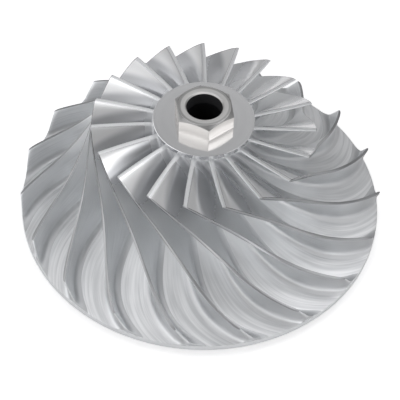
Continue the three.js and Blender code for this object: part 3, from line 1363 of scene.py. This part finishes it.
@dataclass
class BladeRow:
    """The ring of blades, copied round the axis.

    Attributes:
        lines: The wheel's lines.
        finish: Finish of the blades.
        first_angle: Where the first blade's tip starts, in degrees.
        seed: Seed of the blades' slight differences in tone.
    """

    lines: WheelLines
    finish: BladeFinish = BladeFinish()
    first_angle: float = 91.9
    seed: int = 7

    def tree(self) -> GeometryTree:
        """Copies one blade round the axis, and gives each copy a tone of its own.

        Returns:
            The tree.
        """
        tree = GeometryTree("blade_row", with_geometry=True)
        count = tree.number("Blades", "NodeSocketInt")
        first = tree.number("First angle")
        seed = tree.number("Seed", "NodeSocketInt")
        material = tree.input("Finish", "NodeSocketMaterial")
        points = tree.node("GeometryNodePoints", {}, {"Count": count}).outputs[0]
        index = tree.value("GeometryNodeInputIndex", {}, {})
        rotation = tree.vector(0.0, 0.0, first - index * (math.tau / count))
        sockets = {"Points": points, "Instance": tree.given.outputs["Geometry"], "Rotation": rotation}
        copies = tree.node("GeometryNodeInstanceOnPoints", {}, sockets).outputs[0]
        tone = tree.node("FunctionNodeRandomValue", {"data_type": "FLOAT"}, {"Seed": seed}).outputs[1]
        sockets = {"Geometry": copies, "Name": "blade_tone", "Value": tone}
        toned = tree.node("GeometryNodeStoreNamedAttribute", {"domain": "INSTANCE"}, sockets).outputs[0]
        tree.end(toned, material)
        return tree

    def build(self) -> None:
        """Builds the row and settles it on the frame."""
        values = {
            "Blades": len(BLADE_NODES),
            "First angle": math.radians(self.first_angle),
            "Seed": self.seed,
            "Finish": self.finish.material(),
        }
        piece = self.tree().grow("blade_row", BladeShape(self.lines).mesh(), values)
        settle(piece, BLADE_NODES)


@dataclass
class Lathe:
    """Turns closed outlines about the shaft axis.

    Attributes:
        merge: Distance under which points become one, where the last column meets the first.
        crease: Bend over which an edge stays sharp, in degrees.
        tree: The Geometry Nodes tree, built once for every turned piece.
    """

    merge: float = 0.001 * MM
    crease: float = 32.0
    tree: GeometryTree = field(init=False)

    def __post_init__(self) -> None:
        """Builds the tree."""
        tree = GeometryTree("turned_piece", with_geometry=True)
        sides = tree.number("Sides", "NodeSocketInt")
        rows = tree.number("Rows", "NodeSocketInt")
        material = tree.input("Finish", "NodeSocketMaterial")
        sockets = {"Vertices X": sides + 1.0, "Vertices Y": rows}
        grid = tree.node("GeometryNodeMeshGrid", {}, sockets).outputs[0]
        index = tree.value("GeometryNodeInputIndex", {}, {})
        # The half keeps a whole number from being rounded down.
        column = ((index + 0.5) / rows).floor()
        row = index - column * rows
        position = tree.node("GeometryNodeInputPosition", {}, {}).outputs[0]
        sockets = {"Geometry": tree.given.outputs["Geometry"], "Value": position, "Index": row}
        outline = tree.node("GeometryNodeSampleIndex", {"data_type": "FLOAT_VECTOR"}, sockets).outputs[0]
        sockets = {"Vector": outline, "Axis": (0.0, 0.0, 1.0), "Angle": column * (math.tau / sides)}
        turned = tree.node("ShaderNodeVectorRotate", {"rotation_type": "AXIS_ANGLE"}, sockets).outputs[0]
        placed = tree.node("GeometryNodeSetPosition", {}, {"Geometry": grid, "Position": turned}).outputs[0]
        sockets = {"Geometry": placed, "Distance": self.merge}
        merged = tree.node("GeometryNodeMergeByDistance", {}, sockets).outputs[0]
        tree.end(merged, material)
        self.tree = tree

    def turn(
        self, name: str, outline: Sequence[Point], sides: int, material: bpy.types.Material
    ) -> bpy.types.Object:
        """Turns one outline.

        Args:
            name: Name of the piece.
            outline: Radius and height of its points, anticlockwise, without the first one repeated.
            sides: Number of facets round the axis.
            material: Material of the piece.

        Returns:
            The piece.
        """
        closed = [*outline, outline[0]]
        points = np.array([(radius, 0.0, height) for radius, height in closed])
        source = mesh_of(name + "_outline", points, [])
        piece = self.tree.grow(name, source, {"Sides": sides, "Rows": len(closed), "Finish": material})
        smooth(piece.data, self.crease)
        return piece


@dataclass
class Wheel:
    """The revolved forging: hub, disc and the boss behind them.

    Attributes:
        lines: The wheel's lines.
        lathe: What turns it.
        finish: Its finish.
        bore: Radius of the shaft bore.
        boss: Radius of the rear boss.
        chamfer: Chamfer of the boss and of the bore's rear edge.
        edge: Rounding of the rim's edges.
        edge_steps: Stretches of that rounding at the back.
        rim_corner: Its points at the front, as roundings inwards and under the rim's face.
        inner_fillet: Fillet between the boss and the disc's back.
        fillet_steps: Stretches of that fillet.
        back_points: Points on the disc's back.
        flank_steps: Stretches of the hub's flank.
        sides: Facets round the axis.
    """

    lines: WheelLines
    lathe: Lathe
    finish: PassageFinish = PassageFinish()
    bore: float = 12.0 * MM
    boss: float = reach("rear_boss")
    chamfer: float = 1.0 * MM
    edge: float = 0.4 * MM
    edge_steps: int = 4
    rim_corner: tuple[Point, ...] = ((0.0, 1.5), (0.25, 0.3))
    inner_fillet: float = 2.5 * MM
    fillet_steps: int = 6
    back_points: int = 12
    flank_steps: int = 80
    sides: int = 304

    def outline(self) -> list[Point]:
        """The closed outline.

        Returns:
            Its points, anticlockwise from the bore's rear edge.
        """
        lines, edge, fillet = self.lines, self.edge, self.inner_fillet
        points = [(self.bore, self.chamfer), (self.bore + self.chamfer, 0.0)]
        points += [(self.boss - self.chamfer, 0.0), (self.boss, self.chamfer)]
        points += arc((self.boss + fillet, lines.back - fillet), fillet, 180, 90, self.fillet_steps)
        inner, outer = (self.boss + 2 * fillet, lines.back), (lines.outer - 2 * edge, lines.back)
        points += np.linspace(inner, outer, self.back_points).tolist()
        points += arc((lines.outer - edge, lines.back + edge), edge, -90, 0, self.edge_steps)
        for inwards, down in self.rim_corner:
            points.append((lines.outer - inwards * edge, lines.rim_face - down * edge))
        flank = lines.hub.at(np.linspace(1.0, 0.0, self.flank_steps + 1))
        points += flank[1:-1].tolist()
        points += [(lines.nose_radius, lines.hub_top), (self.bore, lines.hub_top)]
        return [(float(radius), float(height)) for radius, height in points]

    def map_passes(self, mesh: bpy.types.Mesh) -> None:
        """Gives the wheel a map that follows the passages: its first number counts them.

        Args:
            mesh: The wheel's mesh.
        """
        points = read_off(mesh.vertices, "co", float, 3).reshape(-1, 3)
        along = self.lines.hub.share_at(np.hypot(points[:, 0], points[:, 1]))
        angle = np.arctan2(points[:, 1], points[:, 0]) - BladeShape(self.lines).root_wrap.at(along)
        corners = read_off(mesh.loops, "vertex_index", np.int32)
        starts = read_off(mesh.polygons, "loop_start", np.int32)
        totals = read_off(mesh.polygons, "loop_total", np.int32)
        # A face's corners keep within half a turn of its first one, so that no face spans the map.
        first = np.repeat(angle[corners[starts]], totals)
        own = first + (angle[corners] - first + math.pi) % math.tau - math.pi
        across = own * len(BLADE_NODES) / math.tau
        store_map(mesh, "passes", np.stack([across, along[corners]], axis=-1))

    def build(self) -> None:
        """Builds the forging and settles it on the frame."""
        material = self.finish.material(self.bore, self.lines.outer, self.lines.rim_face)
        piece = self.lathe.turn("wheel_forging", self.outline(), self.sides, material)
        self.map_passes(piece.data)
        settle(piece, ["hub_core", "back_disc", "rear_boss"])


@dataclass
class NoseDisc:
    """The polished disc between the hub's end and the nut.

    Attributes:
        lathe: What turns it.
        radius: Radius of the disc.
        bottom: Height of its underside.
        top: Height of its face.
        bore: Radius of the bore.
        chamfer: Chamfer of its upper edge.
        edge: Rounding of its edges.
        face_points: Points on its face.
        sides: Facets round the axis.
    """

    lathe: Lathe
    radius: float = reach("nose_disc")
    bottom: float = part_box("hub_core")[1].z
    top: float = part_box("nose_disc")[1].z
    bore: float = 12.0 * MM
    chamfer: float = 0.18 * MM
    edge: float = 0.06 * MM
    face_points: int = 11
    sides: int = 256

    def finish(self) -> TurnedFinish:
        """Its turned and polished finish.

        Returns:
            The finish.
        """
        return TurnedFinish(
            name="nose_polished",
            metal=(0.90, 0.905, 0.915),
            shade=(0.84, 0.845, 0.855),
            bore_radius=self.bore,
            roughness=0.12,
        )

    def outline(self) -> list[Point]:
        """The closed outline.

        Returns:
            Its points, anticlockwise from the bore's lower edge.
        """
        side, cut, edge = self.radius, self.chamfer, self.edge
        # Distances inwards and under the face. Parts of the rounding place the points of its arcs.
        corner = [(0.0, cut + edge), (edge, cut - 0.4 * edge)]
        corner += [(cut + 0.2 * edge, edge), (cut + 1.4 * edge, 0.0)]
        points = [(self.bore, self.bottom), (side - 2 * edge, self.bottom), (side, self.bottom + 2 * edge)]
        points += [(side - inwards, self.top - down) for inwards, down in corner]
        points += [(radius, self.top) for radius in np.linspace(side - 2 * cut, self.bore, self.face_points)]
        return points

    def build(self) -> None:
        """Builds the disc and settles it on the frame."""
        piece = self.lathe.turn("nose_disc_polished", self.outline(), self.sides, self.finish().material())
        settle(piece, ["nose_disc"])


@dataclass
class HexNut:
    """The thin hexagon nut, with chamfered faces, softened corners and its thread.

    Attributes:
        bottom: Height of its seat.
        top: Height of its upper face.
        across_flats: Width across the flats.
        bore: Radius of the bore at the thread's root.
        bore_chamfer: Width of the chamfer on the bore's upper edge.
        bore_lead: Depth of that chamfer.
        face: Radius of the flat face inside the chamfers.
        face_margin: Depth under that face down to which its own finish reaches.
        shade_band: Width of the ring of painted shade at the face's edge.
        flats: Number of flats.
        turn: How far its corners are turned from +Y, in degrees.
        chamfer_angle: Slope of the chamfers, in degrees.
        corner: Rounding of the upright edges.
        corner_places: Where a flat has more points near its corners, in shares of its half.
        edge: Rounding of the other edges.
        side_steps: Stretches of one flat.
        crease: Bend over which an edge stays sharp, in degrees.
        thread_pitch: Pitch of the thread.
        thread_depth: How far its ridge stands into the bore.
        thread_sink: How deep the ridge's middle lies in the bore's wall.
        thread_steps: Stretches in one turn of the thread.
        ridge_sides: Sides of the ridge's section.
        thread_crease: Bend over which its edges stay sharp, in degrees.
    """

    bottom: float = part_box("nose_disc")[1].z
    top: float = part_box("hex_nut")[1].z
    across_flats: float = 36.0 * MM
    bore: float = 11.8 * MM
    bore_chamfer: float = 0.9 * MM
    bore_lead: float = 1.5 * MM
    face: float = 17.1 * MM
    face_margin: float = 0.05 * MM
    shade_band: float = 1.4 * MM
    flats: int = 6
    turn: float = 10.0
    chamfer_angle: float = 30.0
    corner: float = 0.5 * MM
    corner_places: tuple[float, ...] = (0.012, 0.024, 0.04, 0.06)
    edge: float = 0.22 * MM
    side_steps: int = 24
    crease: float = 28.0
    thread_pitch: float = 1.5 * MM
    thread_depth: float = 0.6 * MM
    thread_sink: float = 0.1 * MM
    thread_steps: int = 64
    ridge_sides: int = 4
    thread_crease: float = 30.0

    @property
    def slope(self) -> float:
        """Fall of the chamfers for each step outwards."""
        return math.tan(math.radians(self.chamfer_angle))

    @property
    def half_flat(self) -> float:
        """Angle from a flat's middle to its corner."""
        return math.pi / self.flats

    def finish(self) -> TurnedFinish:
        """Its bright machined steel.

        Returns:
            The finish.
        """
        return TurnedFinish(
            name="nut_steel",
            metal=(0.95, 0.92, 0.885),
            shade=(0.90, 0.865, 0.83),
            bore_radius=self.bore,
            roughness=0.25,
            # The darker faced end, cone and band are painted shade.
            faced=(0.625, 0.62, 0.61),
            faced_height=self.top - self.face_margin,
            lead=self.bore_lead,
            cone=(0.385, 0.385, 0.38),
            cone_radius=self.face,
            cone_slope=self.slope,
            band=self.shade_band,
            diffuse=0.4,
        )

    def angles(self) -> np.ndarray:
        """Directions round the nut, closer together at its corners.

        Returns:
            The directions, from the middle of the first flat.
        """
        half = self.half_flat
        even = np.linspace(-half, half, self.side_steps + 1)[:-1]
        close = half * (1 - np.array(self.corner_places))
        one = np.unique(np.concatenate([even, close, -close]))
        return np.concatenate([one + 2 * half * flat for flat in range(self.flats)])

    def flat_radius(self, angles: np.ndarray) -> np.ndarray:
        """Distance of the nut's side from the axis in each direction, with round corners.

        Args:
            angles: Directions from a flat's middle.

        Returns:
            The distances.
        """
        half = self.half_flat
        off = (angles + half) % (2 * half) - half
        inner = self.across_flats / 2
        centre = (inner - self.corner) / math.cos(half)
        from_corner = half - np.abs(off)
        cross = centre * np.sin(from_corner)
        inside = np.sqrt(np.clip(self.corner**2 - cross**2, 0, None))
        rounded = centre * np.cos(from_corner) + inside
        tangent = centre * math.sin(half) / inner
        return np.where(np.abs(np.tan(off)) > tangent, rounded, inner / np.cos(off))

    def column(self, side: float) -> list[Point]:
        """The nut's section in one direction, anticlockwise from the bore's lower edge.

        Args:
            side: Distance of the nut's side from the axis in that direction.

        Returns:
            Radius and height of its points, the same number for every direction.
        """
        edge, slope = self.edge, self.slope
        high = self.top - (side - self.face) * slope
        lean = edge * math.cos(math.radians(self.chamfer_angle))
        mouth = self.bore + self.bore_chamfer
        # Parts of the rounding place the points of each edge's arc.
        return [
            (self.bore, self.bottom + edge),
            (self.bore + edge, self.bottom),
            (side - edge, self.bottom),
            (side - 0.3 * edge, self.bottom + 0.3 * edge),
            (side, self.bottom + edge),
            (side, (self.bottom + high) / 2),
            (side, high - edge),
            (side - 0.2 * edge, high - 0.25 * edge),
            (side - lean, high + lean * slope),
            (self.face + edge, self.top - edge * slope),
            (self.face - 0.5 * edge, self.top),
            ((self.face + mouth) / 2, self.top),
            (mouth + edge, self.top),
            (mouth - 0.2 * edge, self.top - 0.3 * edge),
            (self.bore, self.top - self.bore_lead),
        ]

    def mesh(self) -> bpy.types.Mesh:
        """The nut's closed skin.

        Returns:
            The mesh.
        """
        angles = self.angles()
        start = math.pi / 2 + math.radians(self.turn) + self.half_flat
        points = []
        for angle, side in zip(angles, self.flat_radius(angles)):
            x, y = math.cos(angle + start), math.sin(angle + start)
            points += [(radius * x, radius * y, height) for radius, height in self.column(side)]
        rows = len(points) // len(angles)
        faces = []
        for i in range(len(angles)):
            here, there = i * rows, (i + 1) % len(angles) * rows
            for row in range(rows):
                after = (row + 1) % rows
                faces.append((here + row, there + row, there + after, here + after))
        mesh = mesh_of("lock_nut", np.array(points), faces)
        smooth(mesh, self.crease)
        return mesh

    def thread_tree(self) -> GeometryTree:
        """Sweeps the thread's ridge up the bore as a helix.

        Returns:
            The tree.
        """
        tree = GeometryTree("nut_thread", with_geometry=False)
        names = ("Radius", "Pitch", "Height", "Depth", "Start")
        radius, pitch, height, depth, start = (tree.number(name) for name in names)
        material = tree.input("Finish", "NodeSocketMaterial")
        sockets = {
            "Resolution": self.thread_steps,
            "Rotations": height / pitch,
            "Start Radius": radius,
            "End Radius": radius,
            "Height": height,
        }
        helix = tree.node("GeometryNodeCurveSpiral", {}, sockets).outputs[0]
        sockets = {"Geometry": helix, "Translation": tree.vector(0.0, 0.0, start)}
        raised = tree.node("GeometryNodeTransform", {}, sockets).outputs[0]
        sockets = {"Resolution": self.ridge_sides, "Radius": depth}
        ridge = tree.node("GeometryNodeCurvePrimitiveCircle", {}, sockets).outputs[0]
        sockets = {"Curve": raised, "Profile Curve": ridge, "Fill Caps": True}
        swept = tree.node("GeometryNodeCurveToMesh", {}, sockets).outputs[0]
        tree.end(swept, material)
        return tree

    def build(self) -> None:
        """Builds the nut and its thread, and settles both on the frame."""
        material = self.finish().material()
        nut = plain_piece("lock_nut", self.mesh())
        nut.data.materials.append(material)
        settle(nut, ["hex_nut"])
        margin = self.bore_lead + self.thread_depth / 2
        values = {
            "Radius": self.bore + self.thread_sink,
            "Pitch": self.thread_pitch,
            "Height": self.top - self.bottom - 2 * margin,
            "Depth": self.thread_depth,
            "Start": self.bottom + margin,
            "Finish": material,
        }
        empty = bpy.data.meshes.new("thread_source")
        thread = self.thread_tree().grow("nut_thread_ridge", empty, values)
        smooth(thread.data, self.thread_crease)
        settle(thread, [])


@dataclass(frozen=True)
class SoftLight:
    """A round soft light in the room, brightest in its middle.

    Attributes:
        azimuth: Its direction from +X, in degrees.
        elevation: Its height over the horizon, in degrees.
        spread: Angle from its middle at which it is half as bright, in degrees.
        brightness: What it adds to the room in its middle.
    """

    azimuth: float
    elevation: float
    spread: float
    brightness: float

    def direction(self) -> Point3:
        """Unit direction from the wheel to its middle."""
        a, e = math.radians(self.azimuth), math.radians(self.elevation)
        return math.cos(a) * math.cos(e), math.sin(a) * math.cos(e), math.sin(e)

    def glow(self, graph: ShaderGraph, direction: bpy.types.NodeSocket) -> Value:
        """How bright it is in the direction being looked at.

        Args:
            graph: The world's graph.
            direction: Socket of that direction.

        Returns:
            The brightness.
        """
        sockets = {0: direction, 1: self.direction()}
        facing = graph.node("ShaderNodeVectorMath", {"operation": "DOT_PRODUCT"}, sockets).outputs["Value"]
        sharpness = math.log(2.0) / (1.0 - math.cos(math.radians(self.spread)))
        return ((Value(graph, facing) - 1.0) * sharpness).exponential() * self.brightness


@dataclass
class Studio:
    """Floor, lights and camera. None of them belongs to the object.

    Attributes:
        elevation: Camera's height over the horizon, in degrees.
        roll: Camera's roll, in degrees.
        distance: Camera's distance from the point that it looks at.
        aim: Height of that point on the shaft axis.
        focal: Focal length in widths of the picture.
        sensor: Width of the sensor in millimetres, as the camera takes it.
        sight: Nearest and farthest distance that the camera sees.
        floor_size: Side of the floor.
        floor_drop: How far the floor lies under the wheel.
        floor_finish: Finish of the floor.
        near_horizon: Brightness of the room at the horizon on the camera's side.
        far_horizon: Its brightness there on the far side.
        zenith: Its brightness overhead.
        shade: The dark part of the room, with the share of the light that it takes.
        tint: Colour of the room.
        lights: The soft lights by name.
    """

    elevation: float = 50.38
    roll: float = 2.77
    distance: float = 875.0 * MM
    aim: float = 6.75 * MM
    focal: float = 3.09
    sensor: float = 36.0
    sight: Span = (0.01, 50.0)
    floor_size: float = 8.0
    floor_drop: float = 0.1 * MM
    floor_finish: FloorFinish = FloorFinish()
    near_horizon: float = 1.57
    far_horizon: float = 0.10
    zenith: float = 0.10
    shade: SoftLight = SoftLight(azimuth=-43.0, elevation=35.0, spread=16.0, brightness=1.0)
    tint: Colour = (0.992, 0.99, 1.0)
    lights: dict[str, SoftLight] = field(
        default_factory=lambda: {
            "left": SoftLight(azimuth=162.0, elevation=0.0, spread=20.0, brightness=1.45),
            "front_left": SoftLight(azimuth=-155.0, elevation=35.0, spread=18.5, brightness=0.84),
            "front_right": SoftLight(azimuth=-55.0, elevation=1.0, spread=15.0, brightness=1.9),
            "far": SoftLight(azimuth=93.0, elevation=28.0, spread=16.5, brightness=0.7),
            "high_far": SoftLight(azimuth=52.0, elevation=58.0, spread=10.0, brightness=2.0),
            "high_left": SoftLight(azimuth=172.0, elevation=72.0, spread=13.0, brightness=2.0),
            "high_right": SoftLight(azimuth=31.0, elevation=60.0, spread=9.0, brightness=2.0),
            "tips": SoftLight(azimuth=-17.0, elevation=53.0, spread=9.0, brightness=2.0),
        }
    )

    def camera(self) -> None:
        """Sets the camera on the -Y side, looking along +Y and down at the wheel."""
        data = bpy.data.cameras.new("camera")
        data.sensor_width = self.sensor
        data.lens = self.focal * self.sensor
        data.clip_start, data.clip_end = self.sight
        camera = bpy.data.objects.new("camera", data)
        bpy.context.scene.collection.objects.link(camera)
        e, r = math.radians(self.elevation), math.radians(self.roll)
        back = Vector((0.0, -math.cos(e), math.sin(e)))
        right, up = Vector((1.0, 0.0, 0.0)), Vector((0.0, math.sin(e), math.cos(e)))
        rolled_right = math.cos(r) * right + math.sin(r) * up
        rolled_up = math.cos(r) * up - math.sin(r) * right
        place = Matrix((rolled_right, rolled_up, back)).transposed().to_4x4()
        place.translation = Vector((0.0, 0.0, self.aim)) + self.distance * back
        camera.matrix_world = place
        bpy.context.scene.camera = camera

    def floor(self) -> None:
        """Lays the plain pale floor under the boss."""
        half, height = self.floor_size / 2, -self.floor_drop
        corners = ((-half, -half), (half, -half), (half, half), (-half, half))
        points = np.array([(x, y, height) for x, y in corners])
        floor = plain_piece("floor", mesh_of("floor", points, [(0, 1, 2, 3)]))
        floor.data.materials.append(self.floor_finish.material())

    def sky(self) -> None:
        """Lights the room evenly: brighter on the camera's side, with the soft lights in it."""
        world = bpy.data.worlds.new("studio")
        graph = ShaderGraph(world, "ShaderNodeOutputWorld")
        direction = graph.node("ShaderNodeTexCoord", {}, {}).outputs["Generated"]
        _, y, z = graph.split(direction)
        horizon = self.far_horizon + (self.near_horizon - self.far_horizon) * y.ramp(1.0, -1.0)
        room = horizon + z.ramp(0.0, 1.0) * (self.zenith - horizon)
        strength = room * (1.0 - self.shade.glow(graph, direction))
        for light in self.lights.values():
            strength = strength + light.glow(graph, direction)
        shader = graph.node("ShaderNodeBackground", {}, {"Color": (*self.tint, 1.0), "Strength": strength})
        graph.tree.links.new(shader.outputs[0], graph.output.inputs["Surface"])
        bpy.context.scene.world = world

    def build(self) -> None:
        """Builds the whole studio."""
        bpy.context.scene.view_settings.view_transform = "Standard"
        self.camera()
        self.floor()
        self.sky()


def main() -> None:
    """Builds the sub-assemblies in order, then the studio."""
    logging.basicConfig(level=logging.INFO, format="%(name)s: %(message)s")
    lines = WheelLines()
    lathe = Lathe()
    Wheel(lines, lathe).build()
    BladeRow(lines).build()
    NoseDisc(lathe).build()
    HexNut().build()
    Studio().build()


if __name__ == "__main__":
    main()
